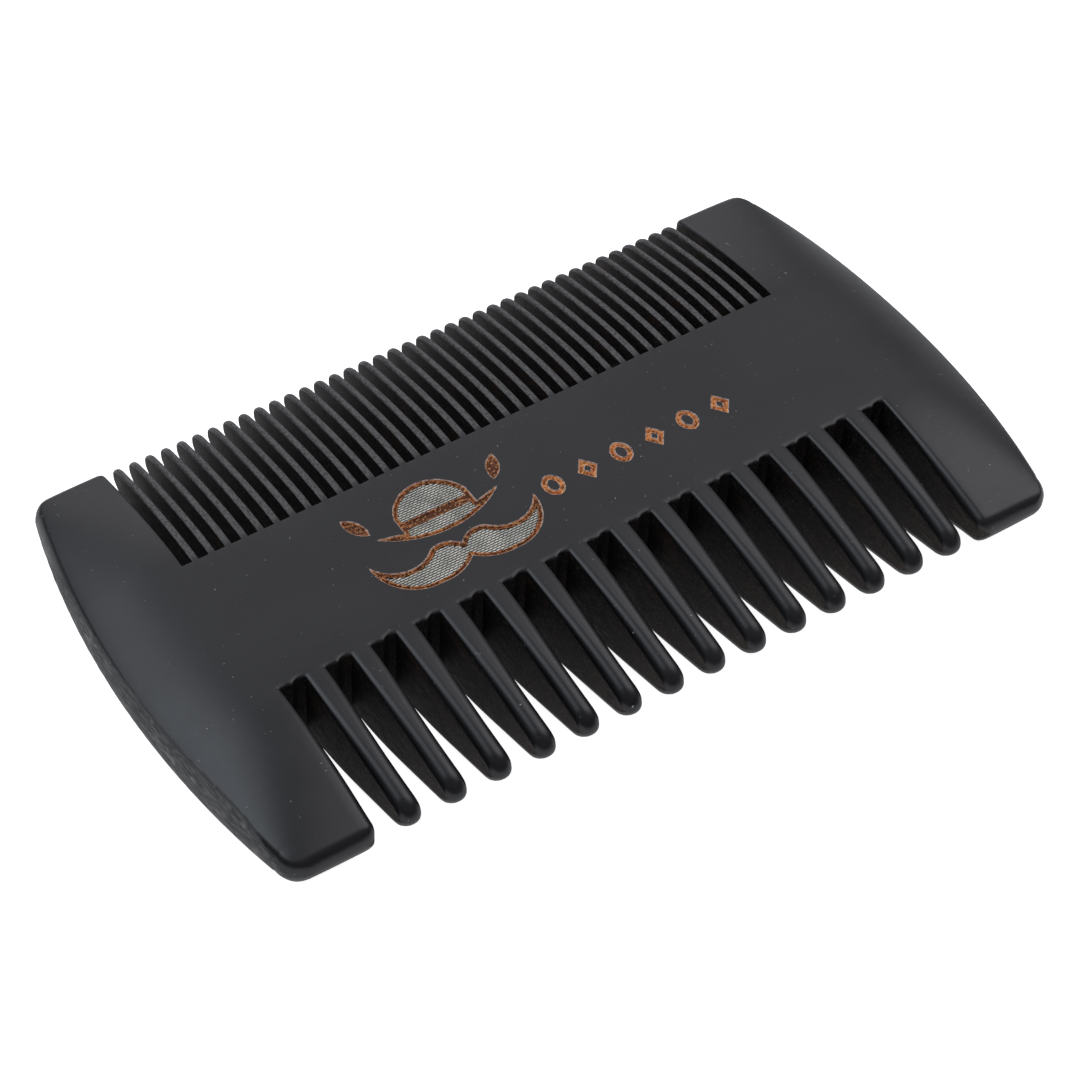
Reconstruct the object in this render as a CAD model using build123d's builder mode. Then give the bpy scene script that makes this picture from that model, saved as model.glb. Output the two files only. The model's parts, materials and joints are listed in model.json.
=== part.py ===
from build123d import *
from math import sqrt
import os

# Double-sided wooden beard comb, in millimetres.
# Origin: centre of the bottom face. +X runs along the comb, +Y points out of
# the fine teeth, and +Z points out of the engraved face.

# Driving dimensions of the blank
LENGTH = 100.7           # over the bulge of the two rounded ends
CORNER_LENGTH = 93.4     # between the corners of the outline, before rounding
REACH = 27.9             # centre line to the tooth tips, halfway along
FINE_SPLAY = 0.0165      # slope of the line of fine tips: wider towards +X
COARSE_SPLAY = 0.0102    # slope of the line of coarse tips: wider towards +X
THICKNESS = 8.8
CROWN = 0.12             # lofted this much proud of each face, then planed flat
FLAT_REACH = 7.6         # where the faces begin to curve down, before planing
TIP_THICKNESS = 2.8      # where the full-round tips begin
FLANK_POWER = 1.5        # how the faces curve down towards the tips
CORNER_RADIUS = 2.9      # in plan

# Driving dimensions of the teeth
COARSE_SLOTS = 15
COARSE_PITCH = 5.163
COARSE_SLOT_WIDTH = 2.887
COARSE_OFFSET = -0.37    # centre of the row of coarse slots
COARSE_ROOT = -9.81      # where the coarse slots end
COARSE_TIP_ROUND = 0.95  # plan radius of the tooth tips
FINE_SLOTS = 40
FINE_PITCH = 1.905
FINE_SLOT_WIDTH = 1.09
FINE_ROOT = 9.33         # where the fine slots end, halfway along
FINE_ROOT_SLOPE = 0.0145
FINE_OFFSET = -0.84      # centre of the row of fine slots
FINE_TIP_ROUND = 0.34
GUARD_TIP_ROUND = 2.2    # inner corner of the two end guards
SAW_PASS = (0.2, 0.05, 0.47, -0.14, 0.76, 0.24)  # two-pass root: (share of width, depth) x 3

# Driving dimensions of the engraving
CUT_DEPTH = 0.3          # pockets below the face
SCORCH_HEIGHT = 0.12     # charred wood that lines the outline strokes
HATCH_HEIGHT = 0.16      # bare wood that lines the hatched areas
STROKE = 0.42            # width of a scorched line of the big ornament
ROW_STROKE = 0.5         # width of a scorched line of the small ornaments
GAP = 0.03               # between charred and bare wood
MOTIF_CENTRE = (-12.8, -0.35)
MOUSTACHE_Y = -4.0
HAT_Y = 0.3
HAT_BAND = (8.4, 1.0, 1.75)  # width, height and centre height of the scorched hat band
LEAF_SIZE = (3.0, 1.5)
ROW_CENTRE = (10.6, -1.25)
ROW_PITCH = 4.4
ROW_COUNT = 6
ROW_RISE = 0.021         # slope of the row: it climbs a little towards +X
ORNAMENT_SIZE = (2.9, 2.3)   # height and width of a small ornament

# Derived sizes of the blank
HALF = LENGTH / 2
MID_Z = THICKNESS / 2
TIP_HALF = TIP_THICKNESS / 2
NOSE_START = REACH - TIP_HALF
END_SAG = (LENGTH - CORNER_LENGTH) / 2
END_RADIUS = (REACH**2 + END_SAG**2) / (2 * END_SAG)
CORNER_Y = REACH - CORNER_RADIUS
CORNER_X = HALF - END_RADIUS + sqrt((END_RADIUS - CORNER_RADIUS) ** 2 - CORNER_Y**2)
SECTIONS = (8.0, 13.0, 18.5, 23.0, 25.2, 26.5, 27.2, 27.6, 27.8)
OUTSIDE = 4.0            # how far a slot cutter runs past the tips
FLOOR_Z = THICKNESS - CUT_DEPTH
MOTIF_PLANE = Plane(origin=(*MOTIF_CENTRE, FLOOR_Z))
ROW_PLANE = Plane(origin=(*ROW_CENTRE, FLOOR_Z), x_dir=(1, ROW_RISE, 0))


def half_thickness(y):
    """Half of the lofted blank's thickness at y from the centre line."""
    y = abs(y)
    if y > NOSE_START:
        return sqrt(TIP_HALF**2 - (y - NOSE_START) ** 2)
    top = MID_Z + CROWN
    run = max(0.0, y - FLAT_REACH) / (NOSE_START - FLAT_REACH)
    return top - (top - TIP_HALF) * run**FLANK_POWER


def half_length(y):
    """Half of the blank's length at y from the centre line."""
    y = abs(y)
    if y > CORNER_Y:
        return CORNER_X + sqrt(CORNER_RADIUS**2 - (y - CORNER_Y) ** 2)
    return HALF - END_RADIUS + sqrt(END_RADIUS**2 - y**2)


def section_plane(y):
    """Upright plane across the comb at y, turned to follow the splayed tips."""
    splay = (FINE_SPLAY if y > 0 else -COARSE_SPLAY) * abs(y) / REACH
    return Plane(origin=(0, y, MID_Z), x_dir=(1, splay, 0), z_dir=(splay, -1, 0))


def tip_y(x, side):
    """Y of the line of tips at x: side is 1 for fine, -1 for coarse."""
    return REACH + FINE_SPLAY * x if side > 0 else -REACH - COARSE_SPLAY * x


def slot_sketch(x, width, root, side, rounds, root_curve=None):
    """Plan of one slot, flared round the two tooth tips at its mouth."""
    left, right = x - width / 2, x + width / 2
    tip = tip_y(x, side)
    out = tip + side * OUTSIDE
    left_round, right_round = rounds
    with BuildLine() as outline:
        Polyline((left, root), (left, tip - side * left_round))
        JernArc((left, tip - side * left_round), (0, side), left_round, side * 90)
        Polyline((left - left_round, tip), (left - left_round, out),
                 (right + right_round, out), (right + right_round, tip))
        JernArc((right, tip - side * right_round), (0, side), right_round, -side * 90)
        Polyline((right, tip - side * right_round), (right, root))
        if root_curve:
            a, lobe_1, b, ridge, c, lobe_2 = root_curve
            knee = (left + b * width, root - side * ridge)
            ThreePointArc((left, root), (left + a * width, root - side * lobe_1), knee)
            ThreePointArc(knee, (left + c * width, root - side * lobe_2), (right, root))
        else:
            Line((left, root), (right, root))
    make_face(outline.edges())


def slot_row(count, pitch, width, offset, root, slope, side, tip_round, root_curve=None):
    """All the slots of one side of the comb."""
    for i in range(count):
        x = offset + (i - (count - 1) / 2) * pitch
        rounds = (GUARD_TIP_ROUND if i == 0 else tip_round,
                  GUARD_TIP_ROUND if i == count - 1 else tip_round)
        slot_sketch(x, width, root + slope * x, side, rounds, root_curve)


def moustache(y):
    """Handlebar moustache with its middle at height y."""
    notch, shoulder, tip = (0, y + 1.0), (3.3, y + 1.9), (9.9, y + 2.9)
    belly, parting = (4.4, y - 2.3), (0, y - 0.8)
    with BuildLine() as outline:
        ThreePointArc(notch, (1.6, y + 2.1), shoulder)
        ThreePointArc(shoulder, (6.9, y + 0.7), tip)
        ThreePointArc(tip, (8.3, y - 1.0), belly)
        ThreePointArc(belly, (1.9, y - 2.0), parting)
        Line(parting, notch)
    make_face(outline.edges())
    mirror(about=Plane.YZ)


def hat(y):
    """Bowler hat: a domed crown over a brim with turned-up ends."""
    with BuildLine() as outline:
        Polyline((-7.2, y + 1.5), (-4.3, y + 0.8), (-4.3, y + 3.0))
        ThreePointArc((-4.3, y + 3.0), (0, y + 6.2), (4.3, y + 3.0))
        Polyline((4.3, y + 3.0), (4.3, y + 0.8), (7.2, y + 1.5))
        ThreePointArc((7.2, y + 1.5), (0, y - 0.9), (-7.2, y + 1.5))
    make_face(outline.edges())


def leaf(x, y, length, width, lean=0.0):
    """Pointed leaf about (x, y), its upper point moved sideways by lean."""
    foot, top = (x - lean, y - length / 2), (x + lean, y + length / 2)
    with BuildLine() as outline:
        ThreePointArc(foot, (x - width / 2, y), top)
        ThreePointArc(top, (x + width / 2, y), foot)
    make_face(outline.edges())


def lozenge(x, y, height, width):
    """Upright diamond about (x, y)."""
    with BuildLine() as outline:
        Polyline((x, y - height / 2), (x + width / 2, y), (x, y + height / 2),
                 (x - width / 2, y), close=True)
    make_face(outline.edges())


def motif():
    """The big ornament's hatched shapes."""
    moustache(MOUSTACHE_Y)
    hat(HAT_Y)


def side_leaves():
    """The solid leaves on each side of the hat."""
    for side in (-1, 1):
        leaf(side * 8.4, 4.4, *LEAF_SIZE, lean=side * 0.8)


def hat_band(margin=0.0, mode=Mode.ADD):
    """Band across the hat's crown, or with a margin the opening left for it."""
    width, height, rise = HAT_BAND
    with Locations((0, HAT_Y + rise)):
        Rectangle(width + 2 * margin, height + 2 * margin, mode=mode)


def small_ornaments():
    """Row of leaves and lozenges in turn."""
    for i in range(ROW_COUNT):
        x = (i - (ROW_COUNT - 1) / 2) * ROW_PITCH
        if i % 2:
            lozenge(x, 0, *ORNAMENT_SIZE)
        else:
            leaf(x, 0, *ORNAMENT_SIZE)


with BuildPart() as comb_body:
    for y in [-s for s in reversed(SECTIONS)] + [0.0] + list(SECTIONS):
        with BuildSketch(section_plane(y)):
            SlotOverall(2 * half_length(y), 2 * half_thickness(y))
    loft()
    # plane both faces flat
    with BuildSketch(Plane.XY):
        Rectangle(2 * LENGTH, 2 * LENGTH)
    extrude(amount=THICKNESS, mode=Mode.INTERSECT)
    # saw the two rows of slots
    with BuildSketch(Plane.XY):
        slot_row(COARSE_SLOTS, COARSE_PITCH, COARSE_SLOT_WIDTH, COARSE_OFFSET, COARSE_ROOT,
                 0.0, -1, COARSE_TIP_ROUND, SAW_PASS)
        slot_row(FINE_SLOTS, FINE_PITCH, FINE_SLOT_WIDTH, FINE_OFFSET, FINE_ROOT,
                 FINE_ROOT_SLOPE, 1, FINE_TIP_ROUND)
    extrude(amount=THICKNESS, mode=Mode.SUBTRACT)
    # engrave the face
    with BuildSketch(MOTIF_PLANE):
        motif()
        side_leaves()
    with BuildSketch(ROW_PLANE):
        small_ornaments()
        offset(amount=-ROW_STROKE, mode=Mode.SUBTRACT)
    extrude(amount=2 * CUT_DEPTH, mode=Mode.SUBTRACT)

with BuildPart() as motif_scorched_lines:
    with BuildSketch(MOTIF_PLANE):
        motif()
        offset(amount=-STROKE, mode=Mode.SUBTRACT)
        hat_band()
        side_leaves()
    extrude(amount=SCORCH_HEIGHT)

with BuildPart() as motif_hatched_wood:
    with BuildSketch(MOTIF_PLANE):
        motif()
        offset(amount=-STROKE - GAP)
        hat_band(GAP, Mode.SUBTRACT)
    extrude(amount=HATCH_HEIGHT)

with BuildPart() as small_scorched_ornaments:
    with BuildSketch(ROW_PLANE):
        small_ornaments()
        offset(amount=-ROW_STROKE, mode=Mode.SUBTRACT)
    extrude(amount=SCORCH_HEIGHT)

comb_body.part.label = "comb_body"
motif_scorched_lines.part.label = "motif_scorched_lines"
motif_hatched_wood.part.label = "motif_hatched_wood"
small_scorched_ornaments.part.label = "small_scorched_ornaments"

os.makedirs("parts", exist_ok=True)
export_step(comb_body.part, "parts/comb_body.step")
export_step(motif_scorched_lines.part, "parts/motif_scorched_lines.step")
export_step(motif_hatched_wood.part, "parts/motif_hatched_wood.step")
export_step(small_scorched_ornaments.part, "parts/small_scorched_ornaments.step")
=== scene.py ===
"""Visual model of a double-sided wooden beard comb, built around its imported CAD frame."""
import json
import math
import bmesh
import bpy
import numpy as np
from mathutils import Matrix, Vector, noise
from mathutils.geometry import delaunay_2d_cdt

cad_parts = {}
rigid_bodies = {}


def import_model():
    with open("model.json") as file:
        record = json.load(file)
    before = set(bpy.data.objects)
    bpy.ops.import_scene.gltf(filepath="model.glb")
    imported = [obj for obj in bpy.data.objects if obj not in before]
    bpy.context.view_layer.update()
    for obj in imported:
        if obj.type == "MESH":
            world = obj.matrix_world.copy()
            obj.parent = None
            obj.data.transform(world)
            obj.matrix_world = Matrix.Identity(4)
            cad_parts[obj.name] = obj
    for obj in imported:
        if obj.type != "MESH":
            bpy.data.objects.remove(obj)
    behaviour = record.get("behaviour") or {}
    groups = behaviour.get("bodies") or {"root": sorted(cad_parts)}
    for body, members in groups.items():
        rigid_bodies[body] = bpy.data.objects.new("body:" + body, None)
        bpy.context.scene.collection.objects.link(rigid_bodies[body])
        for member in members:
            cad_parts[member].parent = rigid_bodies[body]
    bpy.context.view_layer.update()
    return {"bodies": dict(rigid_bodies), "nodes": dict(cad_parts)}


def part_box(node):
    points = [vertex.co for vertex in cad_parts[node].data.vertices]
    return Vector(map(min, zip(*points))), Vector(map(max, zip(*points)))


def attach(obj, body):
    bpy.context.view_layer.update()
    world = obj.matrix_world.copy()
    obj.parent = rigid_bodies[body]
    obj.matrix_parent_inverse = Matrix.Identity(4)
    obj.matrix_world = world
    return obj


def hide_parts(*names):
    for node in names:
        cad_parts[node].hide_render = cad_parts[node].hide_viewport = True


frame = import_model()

MM = 0.001
BODY = next(iter(frame["bodies"]))
LOW, HIGH = [np.array(corner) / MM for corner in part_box("comb_body")]

# Blank, in millimetres
HALF = (HIGH[0] - LOW[0]) / 2
MID_Z = (LOW[2] + HIGH[2]) / 2
HALF_THICK = (HIGH[2] - LOW[2]) / 2
REACH = 27.9                     # centre line to the tips, halfway along
SPLAY = {1: 0.0165, -1: 0.0102}  # how the lines of tips open towards +X
END_SAG = 3.65                   # the ends bulge this much beyond the corners
END_RADIUS = (REACH**2 + END_SAG**2) / (2 * END_SAG)
CORNER_RADIUS = 2.9
CORNER_Y = REACH - CORNER_RADIUS
CORNER_X = HALF - END_RADIUS + math.sqrt((END_RADIUS - CORNER_RADIUS) ** 2 - CORNER_Y**2)
FLAT_REACH = 10.1                # where the faces begin to curve down to the tips
FLANK_POWER = 1.66               # how late they curve down
TIP_HALF = 1.52                  # half thickness they would have at the tips, without a nose
NOSE = 2.0                       # length of the round nose of the teeth's tips
GUARD_NOSE = 1.2                 # and of the guards' tips
END_FLANK = 11.0                 # how far in from the ends the faces begin to curve down
END_POWER = 2.3                  # how late they curve down there
END_HALF = 1.75                  # half thickness of the round nose of the ends
END_NOSE = 1.0                   # and its depth in plan
CORNER_BLEND = 2.6               # how sharply the two curves of the faces meet

# The two rows of teeth.
#   side                  1 for the fine row, -1 for the coarse row
#   slots, pitch, slot    number of slots, their spacing and width
#   offset                X of the middle of the row
#   root, slope           Y of the slot roots at X = 0, and how it changes along X
#   tip_round, taper      plan radius of a tooth's tip, and how much it narrows towards it
#   edge, drop            width and drop of its rounded long edges at the root
#   tip_drop, full_at     their drop at the tip, and the share of the way where it is reached
#   lobes                 outline of a root sawn in two passes, as (share of width, depth)
#   chips                 how far the rim of a root wanders
#   lean, short           sideways lean and shortening of the teeth, at X = 0 and per mm
#   flare                 how much wider the left and right guards grow, before they bend back
FINE = dict(side=1, slots=40, pitch=1.905, slot=1.16, offset=-0.84, root=9.33, slope=0.0145,
            tip_round=0.36, taper=0.15, edge=0.2, drop=0.06, tip_drop=0.38, full_at=1.1,
            lobes=None, chips=0.03,
            lean=(0.12, 0.0), short=(0.0, 0.0), flare=(0.0, 0.0))
COARSE = dict(side=-1, slots=15, pitch=5.163, slot=2.887, offset=-0.37, root=-9.81, slope=0.0,
              tip_round=1.2, taper=-0.08, edge=0.7, drop=0.27, tip_drop=1.15, full_at=0.9,
              lobes=((0.2, 0.05), (0.47, -0.14), (0.76, 0.24)), chips=0.08,
              lean=(0.23, -0.009), short=(0.1, -0.002), flare=(0.95, 0.95))
TAPER_LENGTH = 7.0  # a tooth tapers over this length before its tip
TIP_FILL = 0.94     # most of its half width that the tip's radius takes
EDGE_FILL = 0.92    # and that a rounded long edge takes
DROP_FILL = 0.97    # most of the half thickness that an edge drops
CHIP_SCALE = 7.3    # bumps per millimetre along a chipped root
ROOT_RELAX = 0.5    # how much shallower a root's outline is on the face

# Guards and ends
GUARD_ROUND = 1.3      # inner corner of a guard's tip, in plan
GUARD_BEND = 0.45      # how far a guard's inner wall bends back near its tip
GUARD_BEND_POWER = 4
GUARD_EDGE = 0.3       # how much wider its rounded edge grows
GUARD_DROP = 0.5       # most of the half thickness that the edge drops
RIGHT_TRIM = 0.17      # the right end is this much shorter all along
RIGHT_CUT = 0.35       # and this much more at its coarse corner
END_ROUGH = 0.05       # how far the sawn rim of the ends wanders
END_ROUGH_SCALE = 1.1  # its bumps per millimetre along the end
END_ROUGH_STEP = 0.25  # and how much it changes from column to column
END_ROUGH_SEED = 7.0
END_ROUGH_FADE = 4     # how quickly it fades towards the faces

# Where the lacquer is missing
RAW_RIM = (0.75, -0.014)            # width of the raw rim: wider towards the coarse side
RAW_MIDDLE, RAW_REACH = -3.0, 15.0  # Y of its middle, and how far it keeps its width
RAW_FADE = 9.0                      # then it fades out over this length
RIM_SOFT, RIM_FAR = 0.3, 4.0        # softening of the distance from the rim, and its limit
RUBBED_TIP = 1.8                    # the tips of the fine teeth are rubbed barest
RUBBED_FROM = 0.05                  # their rubbed part begins this far from the roots

# Mesh density
EDGE_ANGLES = np.linspace(0, math.pi / 2, 6)  # round a long edge
END_ANGLES = np.linspace(0, math.pi / 2, 13)  # round the nose of an end
WALL_LEVELS = np.linspace(1, -1, 7)           # down a slot's wall
MIDDLE_COLUMNS = np.linspace(-1, 1, 5)[1:-1]  # across a tooth, between its edges
LENGTH_STEPS, NOSE_STEPS = 19, 12             # along a tooth, and round its nose
GUARD_STEPS, SPINE_STEPS = 60, 64             # along a guard, and along a spine end
GUARD_COLUMNS = 12                            # across a guard, up to the nose of the end
LOBED_POINTS, PLAIN_POINTS = 17, 5            # across the root of a slot
FACE_GRID = 2.2                               # spacing of the points on the flat faces
FACE_MARGIN = FACE_GRID / 3                   # and the strip without any at their borders
OUTLINE_ROUNDS = 8                            # corrections that settle the outline
WELD_REACH = 1.5e-7                           # metres between points that are one
COMB_CREASE, RELIEF_CREASE = 32, 60           # edges over this many degrees stay sharp


def tip_y(x, row):
    return row["side"] * (REACH + SPLAY[row["side"]] * x)


def root_y(x, row):
    return row["root"] + row["slope"] * x


def along(x, t, row):
    """Y of a point a share t of the way from the slot roots to the tips."""
    return root_y(x, row) + t * (tip_y(x, row) - root_y(x, row))


def nominal(x, y, side):
    """Distance from the centre line, scaled so that the tips are at REACH."""
    return np.abs(y) * REACH / (REACH + SPLAY[side] * x)


def side_flank(v):
    """Half thickness where only the curve towards the tips counts."""
    run = np.clip((v - FLAT_REACH) / (REACH - FLAT_REACH), 0, 1)
    return HALF_THICK - (HALF_THICK - TIP_HALF) * run**FLANK_POWER


def end_flank(u):
    """Half thickness where only the curve towards an end counts, u from its outline."""
    run = np.clip(1 - u / END_FLANK, 0, 1)
    return HALF_THICK - (HALF_THICK - END_HALF) * run**END_POWER


def tip_nose(v, length):
    """Share of the thickness left by the round nose of the tips."""
    nose = np.clip((v - (REACH - length)) / length, 0, 1)
    return np.sqrt(1 - nose**2)


def half_thickness(v, u=None, nose=NOSE):
    """Half thickness at v from the centre line and, near an end, at u from its outline."""
    flank = side_flank(v)
    if u is not None:
        both = flank**-CORNER_BLEND + end_flank(u) ** -CORNER_BLEND - HALF_THICK**-CORNER_BLEND
        flank = both ** (-1 / CORNER_BLEND)
    return flank * tip_nose(v, nose)


def half_length(v):
    v = np.minimum(v, REACH)
    arc = HALF - END_RADIUS + np.sqrt(END_RADIUS**2 - v**2)
    corner = CORNER_X + np.sqrt(np.clip(CORNER_RADIUS**2 - (v - CORNER_Y) ** 2, 0, None))
    return np.where(v > CORNER_Y, corner, arc)


def at(place, line):
    """Value at a place of a straight line given by its value at 0 and its slope."""
    return line[0] + line[1] * place


def smooth(t):
    t = np.clip(t, 0, 1)
    return t * t * (3 - 2 * t)


def wander(points, scale, offset=0.0):
    """Smooth random number between about -1 and 1 at each point."""
    return np.array([noise.noise(Vector((x * scale, y * scale, offset))) for x, y in points])


def slot_x(i, row):
    return row["offset"] + (i - (row["slots"] - 1) / 2) * row["pitch"]


def points_of(mesh):
    """A mesh's points, in millimetres."""
    return np.array([v.co for v in mesh.vertices]) / MM


def link(thing):
    bpy.context.scene.collection.objects.link(thing)
    return thing


# ------------------------------------------------------------------ mesh collecting

LACQUER, SAWN, RIM, CHAR = range(4)


class Skin:
    """Grids and triangles, in millimetres above the mid-plane, welded into one mesh."""

    def __init__(self):
        self.points, self.faces, self.kinds, self.count = [], [], [], 0

    def put(self, points, faces, kind):
        self.points.append(np.asarray(points, float))
        self.faces.append(np.asarray(faces) + self.count)
        self.kinds.append(np.full(len(faces), kind))
        self.count += len(points)

    def grid(self, grid, kind, both=True):
        """A grid of points; both adds its mirror image on the underside."""
        n, m = grid.shape[:2]
        index = np.arange(n * m).reshape(n, m)
        quads = np.stack([index[:-1, :-1], index[1:, :-1], index[1:, 1:], index[:-1, 1:]], -1)
        quads = quads.reshape(-1, 4)
        self.put(grid.reshape(-1, 3), quads, kind)
        if both:
            self.put(grid.reshape(-1, 3) * (1, 1, -1), quads, kind)

    def wall(self, line, kind):
        """Upright wall from a line of points down to its mirror image."""
        wall = np.repeat(line[:, None, :], len(WALL_LEVELS), axis=1)
        wall[..., 2] *= WALL_LEVELS
        self.grid(wall, kind, both=False)

    def object(self, name, materials, smooth_angle):
        points = np.concatenate(self.points)
        points = (points + (0, 0, MID_Z)) * MM
        faces = [face for block in self.faces for face in block.tolist()]
        mesh = bpy.data.meshes.new(name)
        mesh.from_pydata(points.tolist(), [], faces)
        mesh.polygons.foreach_set("material_index", np.concatenate(self.kinds))
        weld(mesh)
        mesh.polygons.foreach_set("use_smooth", [True] * len(mesh.polygons))
        mesh.set_sharp_from_angle(angle=math.radians(smooth_angle))
        for material in materials:
            mesh.materials.append(material)
        return link(bpy.data.objects.new(name, mesh))


def weld(mesh):
    """Joins points that coincide, drops empty faces and turns all faces outwards."""
    bm = bmesh.new()
    bm.from_mesh(mesh)
    bmesh.ops.remove_doubles(bm, verts=bm.verts, dist=WELD_REACH)
    bmesh.ops.recalc_face_normals(bm, faces=bm.faces)
    bm.to_mesh(mesh)
    bm.free()


# ------------------------------------------------------------------ teeth and guards

def shares_to_tip(length, steps=LENGTH_STEPS, nose_length=NOSE):
    """Shares of the way from root to tip, closer together round the nose."""
    straight = np.linspace(0, length - nose_length, steps, endpoint=False)
    nose = length - nose_length * (1 - np.sin(np.linspace(0, math.pi / 2, NOSE_STEPS)))
    return np.concatenate([straight, nose]) / length


def rounded_edge(t, room, thick, row):
    """Plan depth and drop of the rounding along a tooth's long edge."""
    grow = smooth(t / row["full_at"])
    depth = row["edge"] + (room - row["edge"]) * grow
    drop = row["drop"] + (row["tip_drop"] - row["drop"]) * grow
    return np.minimum(depth, room), np.minimum(drop, DROP_FILL * thick)


def base_corner(skin, corner_x, inwards, row):
    """Rounded edge between a tooth's first section and the root of the slot beside it."""
    inset = row["edge"] * (1 - np.cos(EDGE_ANGLES))
    xs = corner_x + inwards * inset
    z = HALF_THICK - row["drop"] * (1 - np.sin(EDGE_ANGLES))
    near = np.stack([xs, root_y(xs, row), z], -1)
    far = near - np.stack([0 * xs, row["side"] * inset, 0 * xs], -1)
    skin.grid(np.stack([near, far]), LACQUER)


def tooth(skin, x, row):
    """One tooth: its rounded faces and two sawn walls. Returns the line of its base."""
    half = (row["pitch"] - row["slot"]) / 2
    full = abs(tip_y(x, row) - root_y(x, row))
    length = full - at(x, row["short"])
    t = shares_to_tip(length)
    to_tip = (1 - t) * length
    t = t * length / full
    width = half * (1 - row["taper"] * smooth(1 - to_tip / TAPER_LENGTH))
    radius = np.minimum(row["tip_round"], TIP_FILL * width)
    width = width - radius + np.sqrt(radius**2 - np.clip(radius - to_tip, 0, None) ** 2)
    base = nominal(x, root_y(x, row), row["side"])
    thick = half_thickness(REACH - to_tip * (REACH - base) / length)
    depth, drop = rounded_edge(t, EDGE_FILL * width, thick, row)
    edge = -width[:, None] + depth[:, None] * (1 - np.cos(EDGE_ANGLES))
    middle = MIDDLE_COLUMNS * (width - depth)[:, None]
    lean = at(x, row["lean"]) * t**2
    xs = x + lean[:, None] + np.concatenate([edge, middle, -edge[:, ::-1]], axis=1)
    fall = drop[:, None] * (1 - np.sin(EDGE_ANGLES))
    z = thick[:, None] - np.concatenate([fall, 0 * middle, fall[:, ::-1]], axis=1)
    grid = np.stack([xs, along(xs, t[:, None], row), z], -1)
    skin.grid(grid, LACQUER)
    skin.wall(grid[:, 0], SAWN)
    skin.wall(grid[:, -1], SAWN)
    base_corner(skin, x - half, 1, row)
    base_corner(skin, x + half, -1, row)
    ring = len(EDGE_ANGLES) - 1
    return grid[0, ring:len(grid[0]) - ring]


def slot_root(skin, x, row):
    """Rounded rim and upright wall at the root of one slot. Returns the rim's inner line."""
    share = np.linspace(0, 1, LOBED_POINTS if row["lobes"] else PLAIN_POINTS)
    depth = lobed_depth(share, row["lobes"]) if row["lobes"] else 0 * share
    along_root = np.stack([x + share, 0 * share], -1)
    depth[1:-1] += row["chips"] * wander(along_root[1:-1], CHIP_SCALE)
    inset = row["edge"] * (1 - np.cos(EDGE_ANGLES))
    relax = 1 - ROOT_RELAX * inset / row["edge"]
    width = row["slot"] + 2 * inset
    xs = x - width / 2 + share[:, None] * width
    ys = root_y(xs, row) - row["side"] * (inset + depth[:, None] * relax)
    z = HALF_THICK - row["drop"] * (1 - np.sin(EDGE_ANGLES))
    grid = np.stack([xs, ys, np.broadcast_to(z, xs.shape)], -1)
    skin.grid(grid, LACQUER)
    skin.wall(grid[:, 0], SAWN)
    return grid[:, -1]


def lobed_depth(share, lobes):
    """Depth across a root cut in two passes of the saw, with a ridge between them."""
    (a, lobe_1), (b, ridge), (c, lobe_2) = lobes
    first = np.polyfit([0, a, b], [0, lobe_1, ridge], 2)
    second = np.polyfit([b, c, 1], [ridge, lobe_2, 0], 2)
    depth = np.where(share < b, np.polyval(first, share), np.polyval(second, share))
    depth[[0, -1]] = 0
    return depth


def end_x(end, x, y):
    """X of an end's outline beside the point (x, y)."""
    v = np.where(y > 0, nominal(x, y, 1), nominal(x, y, -1))
    cut = RIGHT_TRIM + RIGHT_CUT * (np.clip(-y, 0, None) / REACH) ** 2 if end > 0 else 0
    return end * (half_length(v) - cut)


def outline_x(end, t, row):
    """X of the end's outline on the rows a share t of the way to the tips."""
    x = np.full_like(t, end * HALF)
    for _ in range(OUTLINE_ROUNDS):
        x = end_x(end, x, along(x, t, row))
    return x


def end_columns(inner, outer, end):
    """X of the columns from the inner line of a guard or spine end out to its outline."""
    rim = (outer[:, None] - end * END_NOSE * (1 - np.cos(END_ANGLES)))[:, ::-1]
    share = np.linspace(0, 1, GUARD_COLUMNS)[:-1]
    return np.concatenate([inner[:, None] + (rim[:, :1] - inner[:, None]) * share, rim], axis=1)


def roughen(xs, ys, end):
    """Wandering of the sawn rim, in and out."""
    n = len(END_ANGLES)
    share = np.cos(END_ANGLES)[::-1] ** END_ROUGH_FADE
    for column in range(n):
        at_y = ys[:, column - n]
        places = np.stack([at_y, 0 * at_y + column * END_ROUGH_STEP], -1)
        wave = wander(places, END_ROUGH_SCALE, END_ROUGH_SEED * end)
        xs[:, column - n] += end * END_ROUGH * share[column] * wave


def end_height(xs, ys, outer, side):
    """Height of the faces in those columns, round the nose of the end."""
    u = np.abs(outer)[:, None] - np.abs(xs)
    z = half_thickness(nominal(xs, ys, side), u, nose=GUARD_NOSE)
    z[:, -len(END_ANGLES):] *= np.sin(END_ANGLES)[::-1]
    return z


def guard_wall(end, row):
    """X of the wall between the last slot and the guard."""
    return slot_x(0 if end < 0 else row["slots"] - 1, row) + end * row["slot"] / 2


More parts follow.
